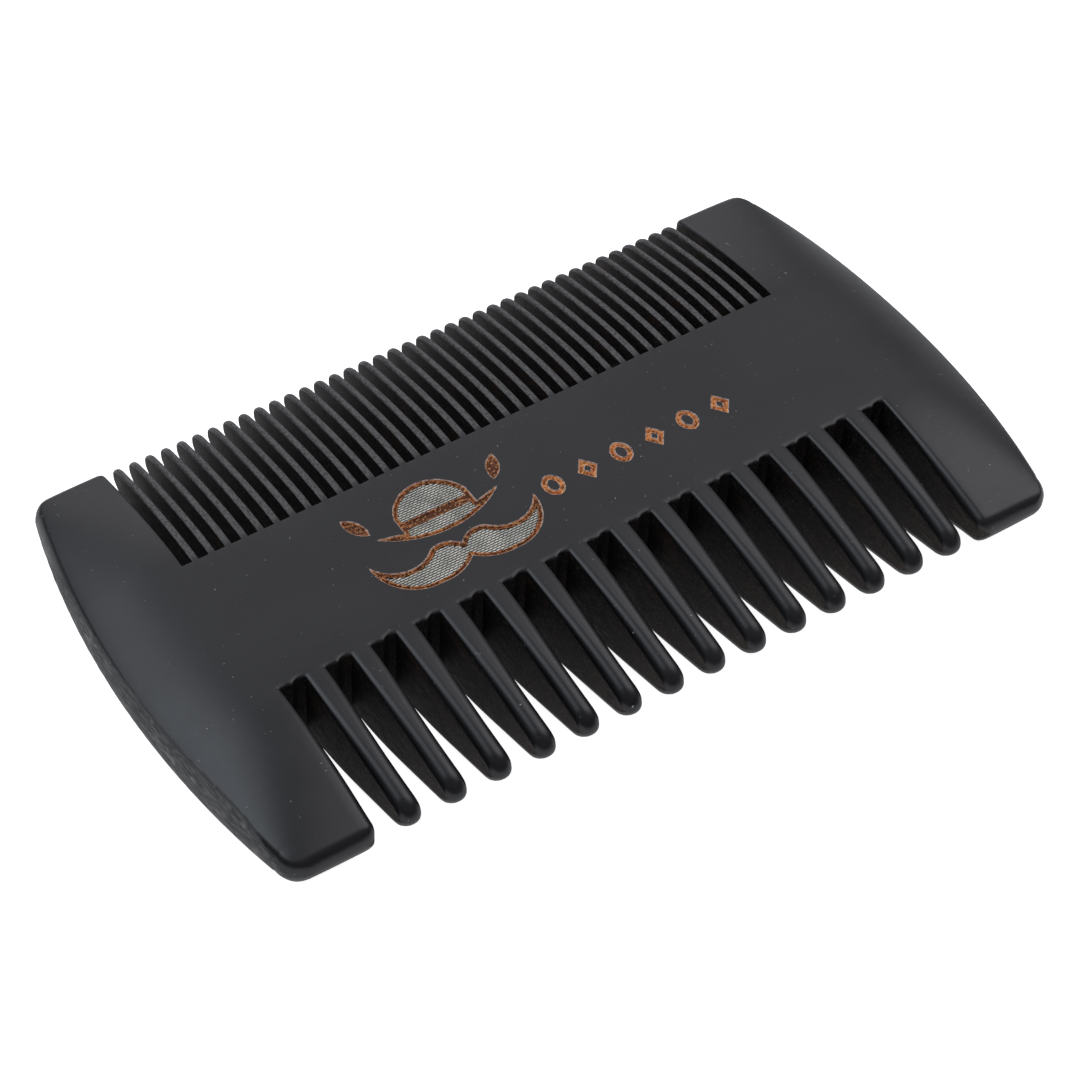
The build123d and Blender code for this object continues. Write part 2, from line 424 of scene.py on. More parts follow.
def guard(skin, end, row):
    """End guard of one row: end is -1 or 1."""
    wall = guard_wall(end, row)
    length = abs(tip_y(wall, row) - root_y(wall, row))
    t = shares_to_tip(length, GUARD_STEPS, GUARD_NOSE)
    to_tip = (1 - t) * length
    lean = GUARD_ROUND - np.sqrt(GUARD_ROUND**2 - np.clip(GUARD_ROUND - to_tip, 0, None) ** 2)
    flare = row["flare"][max(end, 0)] * (t - GUARD_BEND * t**GUARD_BEND_POWER)
    inner = wall + end * (lean - flare)
    v = nominal(inner, along(inner, t, row), row["side"])
    thick = half_thickness(v, nose=GUARD_NOSE)
    depth, drop = rounded_edge(t, row["edge"] + GUARD_EDGE, thick, row)
    drop = np.minimum(drop, GUARD_DROP * thick)
    edge = inner[:, None] + end * depth[:, None] * (1 - np.cos(EDGE_ANGLES))
    outer = outline_x(end, t, row)
    xs = np.concatenate([edge[:, :-1], end_columns(edge[:, -1], outer, end)], axis=1)
    ys = along(xs, t[:, None], row)
    z = end_height(xs, ys, outer, row["side"])
    roughen(xs, ys, end)
    z[:, :len(EDGE_ANGLES)] -= drop[:, None] * (1 - np.sin(EDGE_ANGLES))
    z[-1] = 0
    grid = np.stack([xs, ys, np.maximum(z, 0)], -1)
    skin.grid(grid, LACQUER)
    skin.wall(grid[:, 0], SAWN)
    base_corner(skin, wall, end, row)


def spine_end(skin, end):
    """Rounded end of the spine. Returns its inner line, from the coarse to the fine side."""
    starts = [guard_wall(end, row) + end * row["edge"] for row in (COARSE, FINE)]
    spans = [root_y(x, FINE) - root_y(x, COARSE) for x in starts]
    first, last = COARSE["edge"] / spans[0], 1 - FINE["edge"] / spans[1]
    w = np.concatenate([[0], np.linspace(first, last, SPINE_STEPS), [1]])
    outer = np.full_like(w, end * HALF)
    for _ in range(OUTLINE_ROUNDS):
        y = root_y(outer, COARSE) + w * (root_y(outer, FINE) - root_y(outer, COARSE))
        outer = end_x(end, outer, y)
    inner = np.interp(w, (first, last), starts)
    xs = end_columns(inner, outer, end)
    ys = root_y(xs, COARSE) + w[:, None] * (root_y(xs, FINE) - root_y(xs, COARSE))
    z = np.where(ys > 0, end_height(xs, ys, outer, 1), end_height(xs, ys, outer, -1))
    roughen(xs, ys, end)
    skin.grid(np.stack([xs, ys, z], -1), LACQUER)
    return np.stack([xs[1:-1, 0], ys[1:-1, 0], z[1:-1, 0]], -1)


def tooth_row(skin, row):
    """All of one row. Returns the spine's border along it, from left to right."""
    border = []
    for end in (-1, 1):
        guard(skin, end, row)
    for i in range(row["slots"]):
        border.append(slot_root(skin, slot_x(i, row), row))
        if i < row["slots"] - 1:
            border.append(tooth(skin, slot_x(i, row) + row["pitch"] / 2, row))
    return np.concatenate(border)


# ------------------------------------------------------------------ flat faces

WITHIN_EDGES = 1    # delaunay_2d_cdt's output type
FILL_REACH = 1e-7   # and its tolerance
POINT_GAP = 1e-4    # points of a loop nearer than this are one
POINT_PLACES = 4    # decimals that points of a CAD node are compared with
SHORTEST = 1e-12    # smallest square of a length to divide by
TOP_REACH = 1e-3    # how level the top face of a CAD node is
LOOP_STEP = 0.3     # longest edge of a loop
CORNER_LIMIT = 1.6  # how far a pointed corner of a moved loop may reach


def clean_loop(loop):
    """The loop in plan without repeated points."""
    plan = loop[:, :2]
    keep = np.linalg.norm(plan - np.roll(plan, 1, axis=0), axis=1) > POINT_GAP
    return plan[keep]


def inside(points, loops):
    """True for points inside an odd number of the loops."""
    odd = np.zeros(len(points), bool)
    for loop in loops:
        a, b = loop, np.roll(loop, -1, axis=0)
        for (ax, ay), (bx, by) in zip(a, b):
            if ay == by:
                continue
            crosses = (points[:, 1] < ay) != (points[:, 1] < by)
            crossing = ax + (points[:, 1] - ay) * (bx - ax) / (by - ay)
            odd ^= crosses & (points[:, 0] < crossing)
    return odd


def distance(points, loops):
    """Distance from each point to the nearest loop."""
    best = np.full(len(points), np.inf)
    for loop in loops:
        for a, b in zip(loop, np.roll(loop, -1, axis=0)):
            run = b - a
            share = np.clip((points - a) @ run / max(run @ run, SHORTEST), 0, 1)
            gap = np.linalg.norm(points - a - share[:, None] * run, axis=1)
            best = np.minimum(best, gap)
    return best


def fill(loops, extra):
    """Triangles over the area inside the loops, through the extra points."""
    corners = np.concatenate(loops + [extra]) if len(extra) else np.concatenate(loops)
    edges, start = [], 0
    for loop in loops:
        n = len(loop)
        edges += [(start + i, start + (i + 1) % n) for i in range(n)]
        start += n
    made = delaunay_2d_cdt([Vector(p) for p in corners], edges, [], WITHIN_EDGES, FILL_REACH)
    points = np.array([corners[origin[0]] for origin in made[3]])
    borders = {frozenset(edge) for edge, source in zip(made[1], made[4]) if source}
    triangles = np.array(made[2])
    a, b, c = np.moveaxis(points[triangles], 1, 0)
    size = np.abs((b - a)[:, 0] * (c - a)[:, 1] - (b - a)[:, 1] * (c - a)[:, 0])
    keep = []
    for area in areas(made[2], borders):
        biggest = max(area, key=lambda i: size[i])
        if inside(points[triangles[biggest]].mean(axis=0)[None], loops)[0]:
            keep += area
    return points, triangles[keep]


def areas(triangles, borders):
    """Groups of triangles that touch without a border between them."""
    beside = {}
    for i, triangle in enumerate(triangles):
        for k in range(3):
            edge = frozenset((triangle[k - 1], triangle[k]))
            if edge not in borders:
                beside.setdefault(edge, []).append(i)
    touching = [[] for _ in triangles]
    for pair in beside.values():
        for i in pair:
            touching[i] += pair
    groups, seen = [], set()
    for first in range(len(triangles)):
        if first in seen:
            continue
        group, waiting = [], [first]
        seen.add(first)
        while waiting:
            here = waiting.pop()
            group.append(here)
            fresh = [i for i in touching[here] if i not in seen]
            waiting += set(fresh)
            seen |= set(fresh)
        groups.append(group)
    return groups


def grid_points(loops, step_x, step_y, margin):
    """Staggered grid of points inside the loops, at least margin away from them."""
    low = np.min([loop.min(axis=0) for loop in loops], axis=0)
    high = np.max([loop.max(axis=0) for loop in loops], axis=0)
    ys = np.arange(low[1] + step_y / 2, high[1], step_y)
    xs = np.arange(low[0] + step_x / 2, high[0], step_x)
    points = np.array([(x + step_x / 4 * (-1) ** j, y) for j, y in enumerate(ys) for x in xs])
    points = points[inside(points, loops)]
    return points[distance(points, loops) > margin]


def lift(points, z):
    return np.column_stack([points, np.broadcast_to(z, len(points))])


def node_loops(node):
    """Outlines of a CAD node's top face, in plan: outer ones turn left, holes turn right."""
    mesh = frame["nodes"][node].data
    coords = points_of(mesh)
    rounded = [tuple(point) for point in np.round(coords, POINT_PLACES)]
    ids = {}
    for i, point in enumerate(rounded):
        ids.setdefault(point, i)
    same = [ids[point] for point in rounded]
    top = coords[:, 2].max()
    directed = set()
    for face in mesh.polygons:
        corners = [same[v] for v in face.vertices]
        if all(coords[c][2] > top - TOP_REACH for c in corners):
            directed |= set(zip(corners, corners[1:] + corners[:1]))
    following = {a: b for a, b in directed if (b, a) not in directed}
    loops = []
    while following:
        start = min(following)
        loop, here = [], start
        while here in following:
            loop.append(coords[here][:2])
            here = following.pop(here)
        loops.append(split_long(np.array(loop)))
    return loops


def split_long(loop):
    """The loop with its long edges divided."""
    parts = []
    for a, b in zip(loop, np.roll(loop, -1, axis=0)):
        n = max(1, math.ceil(np.linalg.norm(b - a) / LOOP_STEP))
        parts.append(a + (b - a) * np.arange(n)[:, None] / n)
    return np.concatenate(parts)


def turns_left(loop):
    x, y = loop[:, 0], loop[:, 1]
    return np.sum(x * np.roll(y, -1) - y * np.roll(x, -1)) > 0


def pushed(loop, distance_out):
    """The loop moved sideways to its right, with pointed corners cut short."""
    run = np.roll(loop, -1, axis=0) - loop
    run /= np.linalg.norm(run, axis=1)[:, None]
    right = np.stack([run[:, 1], -run[:, 0]], -1)
    side = right + np.roll(right, 1, axis=0)
    size = np.linalg.norm(side, axis=1)[:, None]
    return loop + side / size * distance_out * np.minimum(2 / size, CORNER_LIMIT)


# ------------------------------------------------------------------ engraving outlines

STROKE_LOOPS = node_loops("motif_scorched_lines")
ORNAMENT_LOOPS = node_loops("small_scorched_ornaments")
HATCH_LOOPS = node_loops("motif_hatched_wood")
POCKET_LOOPS = [loop for loop in STROKE_LOOPS if turns_left(loop)] + ORNAMENT_LOOPS
CUT_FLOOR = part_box("motif_scorched_lines")[0][2] / MM - MID_Z
CUT_RIM = 0.10        # width of the pale bevel round each cut
CUT_RIM_DROP = 0.075  # and how far it drops


# ------------------------------------------------------------------ comb body

def band(skin, loop_a, z_a, loop_b, z_b, kind):
    """Closed strip between two loops with the same number of points."""
    strip = np.stack([lift(loop_a, z_a), lift(loop_b, z_b)])
    skin.grid(np.concatenate([strip, strip[:, :1]], axis=1), kind, both=False)


def cut_pockets(skin):
    """Bevels, walls and floors of the engraved cuts. Returns their outlines on the face."""
    mouths = []
    for loop in POCKET_LOOPS:
        mouth = pushed(loop, CUT_RIM)
        band(skin, mouth, HALF_THICK, loop, HALF_THICK - CUT_RIM_DROP, RIM)
        band(skin, loop, HALF_THICK - CUT_RIM_DROP, loop, CUT_FLOOR, CHAR)
        mouths.append(mouth)
    points, triangles = fill(POCKET_LOOPS, [])
    skin.put(lift(points, CUT_FLOOR), triangles, CHAR)
    return mouths


def make_comb(materials):
    """The whole comb: teeth, guards, ends, faces and engraved cuts in one closed mesh."""
    skin = Skin()
    fine, coarse = tooth_row(skin, FINE), tooth_row(skin, COARSE)
    left, right = spine_end(skin, -1), spine_end(skin, 1)
    border = clean_loop(np.concatenate([coarse, right, fine[::-1], left[::-1]]))
    for side, holes in ((1, cut_pockets(skin)), (-1, [])):
        loops = [border] + holes
        spread = grid_points(loops, FACE_GRID, FACE_GRID, FACE_MARGIN)
        points, triangles = fill(loops, spread)
        skin.put(lift(points, side * HALF_THICK), triangles, LACQUER)
    made = skin.object("comb_body_finish", materials, COMB_CREASE)
    x, y, _ = points_of(made.data).T
    from_rim = np.where(x > 0, end_x(1, x, y) - x, x - end_x(-1, x, y))
    fade = 1 - smooth((np.abs(y - RAW_MIDDLE) - RAW_REACH) / RAW_FADE)
    raw_width = at(y, RAW_RIM) * fade
    set_number(made, "rim", (np.clip(from_rim, 0, RIM_FAR) + RIM_SOFT) / (raw_width + RIM_SOFT))
    first, last = slot_x(0, FINE), slot_x(FINE["slots"] - 1, FINE)
    on_fine = (x > first) & (x < last) & (y > root_y(x, FINE) + RUBBED_FROM)
    near_tip = smooth((nominal(x, y, 1) - REACH + RUBBED_TIP) / RUBBED_TIP)
    set_number(made, "rubbed", on_fine * (1 + near_tip))
    return made


def set_number(piece, name, values):
    """Gives each point of a piece a number that its material reads."""
    attribute = piece.data.attributes.new(name, "FLOAT", "POINT")
    attribute.data.foreach_set("value", np.asarray(values, np.float32))


# ------------------------------------------------------------------ engraved wood

# Heights above the cut's floor at a stroke's edges and middle, and half its width. Coarse and
# fine roughness are given as (height, bumps per millimetre, seed).
GROOVE = dict(edge=0.23, middle=0.05, half=0.21, coarse=(0.05, 3.1, 0.0), fine=(0.03, 9.0, 5.0))
GROOVE_CALM = 0.3  # share of the roughness that is left at the edges
# Spacing of the hatch lines, heights between and on them, length of a dash, width of the gaps'
# slopes, height of the bridges in the gaps, and how full the lines are
RIDGE = dict(pitch=0.28, low=0.04, high=0.18, dash=0.52, gap=0.22, bridge=0.35, full=0.8)
RIDGE_WAVE = (0.12, 0.5, 3.0)             # how the lines wander: (share of the pitch, scale, seed)
STROKE_GRID = (0.09, 0.09)                # spacing of the points on strokes
HATCH_GRID = (0.105, RIDGE["pitch"] / 4)  # and on hatching
EDGE_MARGIN = 0.4                         # share of that spacing kept free along the edges
RELIEF_INSET = 0.006                      # the pieces stay this clear of the cut's walls
RELIEF_LIFT = 0.005                       # and of its floor


def relief(name, loops, spacing, height, level, material):
    """Closed piece on the cuts' floor: height gives the top's height over the floor, and
    level a number from 0 to 1 at each point for the material."""
    loops = [pushed(loop, -RELIEF_INSET) for loop in loops]
    inner = grid_points(loops, *spacing, margin=EDGE_MARGIN * min(spacing))
    points, triangles = fill(loops, inner)
    heights = height(points, distance(points, loops))
    skin = Skin()
    skin.put(lift(points, CUT_FLOOR + heights), triangles, 0)
    base = RELIEF_LIFT + CUT_FLOOR
    skin.put(lift(points, base), triangles, 0)
    for loop in loops:
        top = height(loop, np.zeros(len(loop)))
        band(skin, loop, CUT_FLOOR + top, loop, base, 0)
    made = skin.object(name, [material], RELIEF_CREASE)
    set_number(made, "level", level(points_of(made.data)))
    return made


def waves(points, size, scale, seed):
    return size * wander(points, scale, seed)


def groove_height(points, from_edge):
    depth = smooth(from_edge / GROOVE["half"])
    rough = waves(points, *GROOVE["coarse"]) + waves(points, *GROOVE["fine"])
    bowl = GROOVE["edge"] + (GROOVE["middle"] - GROOVE["edge"]) * depth
    return bowl + rough * (GROOVE_CALM + depth)


def groove_level(coords):
    return np.clip((coords[:, 2] - MID_Z - CUT_FLOOR) / GROOVE["edge"], 0, 1)


def ridge_shape(points):
    """0 between the hatch lines and 1 on their dashes, which are staggered like bricks."""
    row = points[:, 1] / RIDGE["pitch"] + waves(points, *RIDGE_WAVE)
    line = 0.5 + 0.5 * np.cos(2 * math.pi * row)
    shift = 0.5 * (np.round(row) % 2)
    phase = np.cos(2 * math.pi * (points[:, 0] / RIDGE["dash"] + shift))
    dash = smooth((phase + 1) / (2 * RIDGE["gap"]))
    return line ** RIDGE["full"] * (RIDGE["bridge"] + (1 - RIDGE["bridge"]) * dash)


def ridge_height(points, _):
    return RIDGE["low"] + (RIDGE["high"] - RIDGE["low"]) * ridge_shape(points)


def ridge_level(coords):
    on_top = coords[:, 2] > MID_Z + CUT_FLOOR + RIDGE["low"] / 2
    return ridge_shape(coords[:, :2]) * on_top


# ------------------------------------------------------------------ materials

class Tree:
    """Short hand for building a node tree."""

    def __init__(self, tree):
        self.tree = tree

    def add(self, kind, **settings):
        node = self.tree.nodes.new(kind)
        for key, value in settings.items():
            setattr(node, key, value)
        return node

    def join(self, source, socket):
        """Links an output to a socket, or sets the socket to a plain value."""
        if isinstance(source, (int, float, tuple)):
            socket.default_value = source
        else:
            self.tree.links.new(source, socket)

    def math(self, operation, a, b=0.0):
        node = self.add("ShaderNodeMath", operation=operation)
        self.join(a, node.inputs[0])
        self.join(b, node.inputs[1])
        return node.outputs[0]

    def tinted(self, strength, colour):
        """A colour times a number."""
        node = self.add("ShaderNodeVectorMath", operation="SCALE")
        node.inputs[0].default_value = colour
        self.join(strength, node.inputs["Scale"])
        return node.outputs[0]

    def plus(self, first, second):
        """Sum of two colours or directions."""
        node = self.add("ShaderNodeVectorMath", operation="ADD")
        self.join(first, node.inputs[0])
        self.join(second, node.inputs[1])
        return node.outputs[0]

    def span(self, value, low, high, to_low=0.0, to_high=1.0):
        """Smooth step: to_low below low, to_high above high."""
        node = self.add("ShaderNodeMapRange", interpolation_type="SMOOTHSTEP")
        self.join(value, node.inputs["Value"])
        for name, number in (("From Min", low), ("From Max", high),
                             ("To Min", to_low), ("To Max", to_high)):
            self.join(number, node.inputs[name])
        return node.outputs["Result"]

    def blend(self, share, first, second):
        """Mix of two colours: first where the share is 0, second where it is 1."""
        node = self.add("ShaderNodeMix", data_type="RGBA")
        self.join(share, node.inputs["Factor"])
        for source, index in ((first, 6), (second, 7)):
            colour = (*source, 1.0) if isinstance(source, tuple) else source
            self.join(colour, node.inputs[index])
        return node.outputs[2]


class Nodes(Tree):
    """A material's node tree, and the textures that it is made of."""

    def __init__(self, name):
        self.material = bpy.data.materials.new(name)
        self.material.use_nodes = True
        super().__init__(self.material.node_tree)
        self.shader = self.tree.nodes["Principled BSDF"]
        self.place = self.add("ShaderNodeTexCoord").outputs["Object"]

    def scaled(self, per_mm):
        """Place in millimetres, times a number for each axis."""
        node = self.add("ShaderNodeVectorMath", operation="MULTIPLY")
        self.join(self.place, node.inputs[0])
        node.inputs[1].default_value = [n / MM for n in per_mm]
        return node.outputs[0]

    def noise(self, per_mm, detail=3.0, rough=0.55, distort=0.0):
        """Cloudy number round 0.5, with a size given in waves per millimetre on each axis."""
        node = self.add("ShaderNodeTexNoise")
        self.join(self.scaled(per_mm), node.inputs["Vector"])
        node.inputs["Scale"].default_value = 1.0
        node.inputs["Detail"].default_value = detail
        node.inputs["Roughness"].default_value = rough
        node.inputs["Distortion"].default_value = distort
        return node.outputs["Fac"]

    def number(self, name):
        """A number stored at the piece's points."""
        return self.add("ShaderNodeAttribute", attribute_name=name).outputs["Fac"]

    def cells(self, per_mm, dimensions="3D"):
        """Distance to the nearest of a scatter of points, in cell sizes."""
        node = self.add("ShaderNodeTexVoronoi", voronoi_dimensions=dimensions)
        self.join(self.scaled(per_mm), node.inputs["Vector"])
        node.inputs["Scale"].default_value = 1.0
        return node.outputs["Distance"]

    def bump(self, height, depth_mm, under=None):
        """Normal of a height from 0 to 1 that stands for depth_mm, over another normal."""
        node = self.add("ShaderNodeBump")
        self.join(height, node.inputs["Height"])
        node.inputs["Distance"].default_value = depth_mm * MM
        node.inputs["Strength"].default_value = 1.0
        if under is not None:
            self.join(under, node.inputs["Normal"])
        return node.outputs["Normal"]

    def finish(self, colour, roughness, normal, **others):
        """Connects the shader; others are more of its inputs, with _ for a space."""
        self.join(colour, self.shader.inputs["Base Color"])
        self.join(roughness, self.shader.inputs["Roughness"])
        self.join(normal, self.shader.inputs["Normal"])
        for name, value in others.items():
            self.join(value, self.shader.inputs[name.replace("_", " ")])
        return self.material


# Colours, in linear light
LACQUER_DEEP = (0.0045, 0.0047, 0.0055)
LACQUER_PALE = (0.0075, 0.0077, 0.0086)
DUST = (0.45, 0.45, 0.43)
# The fine teeth's rubbed faces and tips, and the raw rim of the ends
BARE = (0.094, 0.090, 0.088)
BAREST = (0.135, 0.133, 0.132)
RAW_DARK, RAW_PALE = (0.030, 0.030, 0.030), (0.15, 0.146, 0.142)
RAW_PATCH = (0.26, 0.25, 0.24)
# Slot walls near the roots and near the tips, each from the dark to the pale of its grain; the
# darker colours near the roots are painted shade deep in the slots
SAWN_ROOT_SHADE = ((0.0012, 0.0010, 0.0010), (0.0060, 0.0050, 0.0045))
SAWN_NEAR_TIPS = ((0.007, 0.005, 0.004), (0.078, 0.062, 0.053))
SAWN_BROWN = (0.022, 0.010, 0.006)
SAWN_CHIP = (0.11, 0.095, 0.084)
# The engraving
CUT_EDGE = ((0.16, 0.09, 0.065), (0.60, 0.47, 0.41))
CHARRED = ((0.012, 0.006, 0.004), (0.16, 0.05, 0.02))
COPPER = ((0.50, 0.14, 0.038), (0.90, 0.38, 0.13))
BURNT, BURNT_DARK = (0.085, 0.024, 0.009), (0.055, 0.015, 0.006)
GLINT = (0.95, 0.50, 0.20)
PALE_WOOD = ((0.60, 0.61, 0.54), (0.86, 0.85, 0.76))
LASER_LINE, FLECK = (0.040, 0.030, 0.022), (0.22, 0.13, 0.08)

RIM_FADE = (0.8, 1.15)                       # where the raw rim of the ends turns into lacquer
LINT = ((0.14, 1.1, 1.0), (1.0, 0.16, 1.0))  # cells per millimetre, for two directions
ROOT_SHADE_FROM, ROOT_SHADE_AT = 13.0, 28.0              # Y over which the painted shade on the slot walls fades out towards the tips
SAWN_SHINE = 0.2                             # specular level of raw and burnt wood


def lacquer():
    """Satin black lacquer over fine-grained wood, with a little dust. It is rubbed thin on
    the fine teeth, and the rim of the ends is raw fibrous wood."""
    n = Nodes("satin_black_lacquer")
    cloud = n.noise((0.06, 0.09, 0.09), detail=4.0)
    grain = n.noise((0.35, 5.0, 5.0), detail=5.0, rough=0.6)
    colour = n.blend(n.span(cloud, 0.35, 0.65), LACQUER_DEEP, LACQUER_PALE)
    change = n.span(grain, 0.3, 0.7, -0.02, 0.02)
    roughness = n.math("ADD", n.span(cloud, 0.3, 0.7, 0.32, 0.38), change)

    crumbs = n.noise((1.6, 1.6, 1.6), detail=2.0, distort=1.0)
    near = n.cells((0.30, 0.30, 0.30), "2D")
    speck = n.math("LESS_THAN", near, n.span(crumbs, 0.45, 0.75, 0.002, 0.022))
    colour = n.blend(n.math("MULTIPLY", speck, 0.8), colour, DUST)
    for stretch in LINT:
        lint = n.math("LESS_THAN", n.cells(stretch, "2D"), n.span(crumbs, 0.58, 0.72, 0.0, 0.05))
        colour = n.blend(n.math("MULTIPLY", lint, 0.35), colour, DUST)

    rubbed = n.number("rubbed")
    pores = n.noise((5.0, 3.0, 5.0), detail=4.0, rough=0.7)
    bare = n.math("MINIMUM", n.math("MULTIPLY", rubbed, n.span(pores, 0.36, 0.60)), 1.0)
    colour = n.blend(bare, colour, n.blend(n.math("SUBTRACT", rubbed, 1.0), BARE, BAREST))
    roughness = n.math("ADD", roughness, n.math("MULTIPLY", rubbed, 0.12))

    fibre = n.noise((5.0, 0.5, 5.0), detail=6.0, rough=0.7, distort=0.3)
    edge = n.math("ADD", n.number("rim"), n.span(fibre, 0.3, 0.7, -0.12, 0.12))
    raw = n.span(edge, *RIM_FADE, 1.0, 0.0)
    patch = n.noise((1.2, 0.35, 1.2), detail=4.0, rough=0.6)
    raw_colour = n.blend(n.span(fibre, 0.40, 0.68), RAW_DARK, RAW_PALE)
    raw_colour = n.blend(n.span(patch, 0.55, 0.70, 0.0, 0.6), raw_colour, RAW_PATCH)
    colour = n.blend(raw, colour, raw_colour)
    roughness = n.math("ADD", roughness, n.math("MULTIPLY", raw, 0.25))

    orange_peel = n.bump(n.noise((0.45, 0.6, 0.6), detail=2.0), 0.016)
    normal = n.bump(grain, 0.0035, under=orange_peel)
    normal = n.bump(n.math("MULTIPLY", pores, rubbed), 0.06, under=normal)
    normal = n.bump(n.math("MULTIPLY", fibre, raw), 0.14, under=normal)
    return n.finish(colour, roughness, normal, Specular_IOR_Level=0.5)


def sawn_wood():
    """Raw dark-dyed wood on the walls of the slots: fibres, pores, saw marks and a few pale
    chips. It is painted darker towards the roots, as painted shade deep in the slots."""
    n = Nodes("sawn_dark_wood")
    fibre = n.noise((6.0, 0.6, 4.0), detail=6.0, rough=0.65, distort=0.3)
    patch = n.noise((0.5, 0.18, 0.4), detail=3.0)
    chips = n.noise((5.0, 3.0, 5.0), detail=3.0, rough=0.6)
    split = n.add("ShaderNodeSeparateXYZ")
    n.join(n.scaled((1.0, 1.0, 1.0)), split.inputs[0])
    # Painted shade: the walls go from darker colours at the roots to paler ones at the tips along
    # Y, standing in for the shade deep in the slots
    out = n.span(n.math("ABSOLUTE", split.outputs["Y"]), ROOT_SHADE_FROM, ROOT_SHADE_AT)
    deep = n.blend(n.span(fibre, 0.3, 0.72), *SAWN_ROOT_SHADE)
    deep = n.blend(n.span(patch, 0.50, 0.68, 0.0, 0.7), deep, SAWN_BROWN)
    tip_colour = n.blend(n.span(fibre, 0.36, 0.70), *SAWN_NEAR_TIPS)
    colour = n.blend(out, deep, tip_colour)
    colour = n.blend(n.span(chips, 0.60, 0.68, 0.0, 0.7), colour, SAWN_CHIP)
    pits = n.span(n.cells((3.0, 0.9, 3.0)), 0.0, 0.28)
    height = n.math("ADD", n.math("MULTIPLY", fibre, 0.7), n.math("MULTIPLY", pits, 0.5))
    saw = n.noise((0.2, 4.5, 0.25), detail=2.0)
    normal = n.bump(height, 0.11, under=n.bump(saw, 0.03))
    roughness = n.span(fibre, 0.3, 0.7, 0.5, 0.75)
    return n.finish(colour, roughness, normal, Specular_IOR_Level=SAWN_SHINE)


def cut_rim():
    """Thin pale edge where the lacquer ends at the engraving."""
    n = Nodes("pale_cut_rim")
    spots = n.noise((3.0, 3.0, 3.0), detail=3.0)
    colour = n.blend(n.span(spots, 0.35, 0.62), *CUT_EDGE)
    return n.finish(colour, 0.5, n.bump(spots, 0.015))


def char():
    """Burnt wood on the walls and floor of the cuts."""
    n = Nodes("burnt_cut_wall")
    spots = n.noise((4.0, 4.0, 4.0), detail=4.0)
    colour = n.blend(n.span(spots, 0.35, 0.7), *CHARRED)
    return n.finish(colour, 0.8, n.bump(spots, 0.03))


def scorched_wood(name, burnt):
    """Scorched strokes: burnt along the middle, copper along the edges, with copper streaks
    and glints. burnt runs from 0, mostly copper, to 1, mostly burnt."""
    n = Nodes(name)
    level = n.number("level")
    spots = n.noise((2.2, 2.2, 2.2), detail=4.0, rough=0.65, distort=0.8)
    tone = n.noise((0.8, 0.8, 0.8), detail=3.0, rough=0.6)
    copper = n.blend(n.span(tone, 0.35, 0.65), *COPPER)
    edge = n.math("ADD", level, n.span(spots, 0.3, 0.7, -0.35, 0.35))
    deep = n.span(edge, 0.10 + 0.48 * burnt, 0.55 + 0.45 * burnt, 1.0, 0.0)
    colour = n.blend(deep, copper, BURNT)
    dark = n.span(tone, 0.52, 0.62, 0.0, 0.45 + 0.4 * burnt)
    colour = n.blend(dark, colour, BURNT_DARK)
    streak = n.noise((0.7, 3.0, 1.0), detail=3.0, rough=0.6, distort=0.4)
    colour = n.blend(n.span(streak, 0.53, 0.63, 0.0, 0.4), colour, copper)
    glint = n.noise((3.5, 3.5, 3.5), detail=2.0)
    colour = n.blend(n.span(glint, 0.56, 0.66, 0.0, 0.85 - 0.3 * burnt), colour, GLINT)
    roughness = n.span(spots, 0.3, 0.7, 0.4, 0.65)
    return n.finish(colour, roughness, n.bump(spots, 0.06), Specular_IOR_Level=SAWN_SHINE)


def hatched_wood():
    """Pale bare wood left between fine laser lines."""
    n = Nodes("hatched_wood")
    level = n.number("level")
    tone = n.noise((0.5, 0.5, 0.5), detail=3.0)
    fleck = n.noise((5.0, 9.0, 5.0), detail=3.0)
    pale = n.blend(n.span(tone, 0.35, 0.65), *PALE_WOOD)
    colour = n.blend(n.span(level, 0.30, 0.70), LASER_LINE, pale)
    colour = n.blend(n.span(fleck, 0.6, 0.75, 0.0, 0.5), colour, FLECK)
    return n.finish(colour, 0.65, n.bump(fleck, 0.02))


# ------------------------------------------------------------------ pieces

def place(piece, slot, node):
    """Fixes a piece to the comb's one body, in the place of a CAD node."""
    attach(piece, BODY)
    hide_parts(node)


place(make_comb([lacquer(), sawn_wood(), cut_rim(), char()]), "lacquered_wood", "comb_body")
place(relief("motif_scorched_strokes", STROKE_LOOPS, STROKE_GRID, groove_height, groove_level,
             scorched_wood("burnt_wood", 1.0)), "scorched_wood", "motif_scorched_lines")
place(relief("small_scorched_strokes", ORNAMENT_LOOPS, STROKE_GRID, groove_height, groove_level,
             scorched_wood("copper_wood", 0.0)), "scorched_wood", "small_scorched_ornaments")
place(relief("motif_hatching", HATCH_LOOPS, HATCH_GRID, ridge_height, ridge_level,
             hatched_wood()), "hatched_wood", "motif_hatched_wood")


# ------------------------------------------------------------------ floor, light and camera

FLOOR_HALF = 3.0                       # metres
FLOOR_GAP = 0.02                       # millimetres between the floor and the comb
FLOOR_GREY = ((0.80, 0.80, 0.80), (0.82, 0.82, 0.82))
FLOOR_GLOW, FLOOR_BOUNCE = 0.93, 0.30  # its own light as the camera and as the comb see it
WHITE = (1.0, 1.0, 1.0)
# The sky's brightness at the horizon and at the top, in front of the comb and behind it
HORIZON, FRONT_TOP, BACK_TOP = 0.04, 0.24, 0.30
FRONT_TO_BACK = (-0.5, 0.6)  # Y of a direction where front turns to back
SKY_RISE = (0.05, 0.7)       # Z of a direction where horizon turns to top
SKY_TINT = (0.97, 0.97, 1.03)
# Soft boxes: azimuth from +Y towards +X, elevation, angles where their edge begins and ends,
# strength and colour
SOFT_BOXES = (
    (-46, 56, 4, 31, 2.15, (0.90, 0.98, 1.08)),
    (92, 53, 12, 30, 1.8, (1.0, 0.98, 1.04)),
    (60, 6, 5, 16, 0.5, (1.0, 1.0, 1.0)),
)
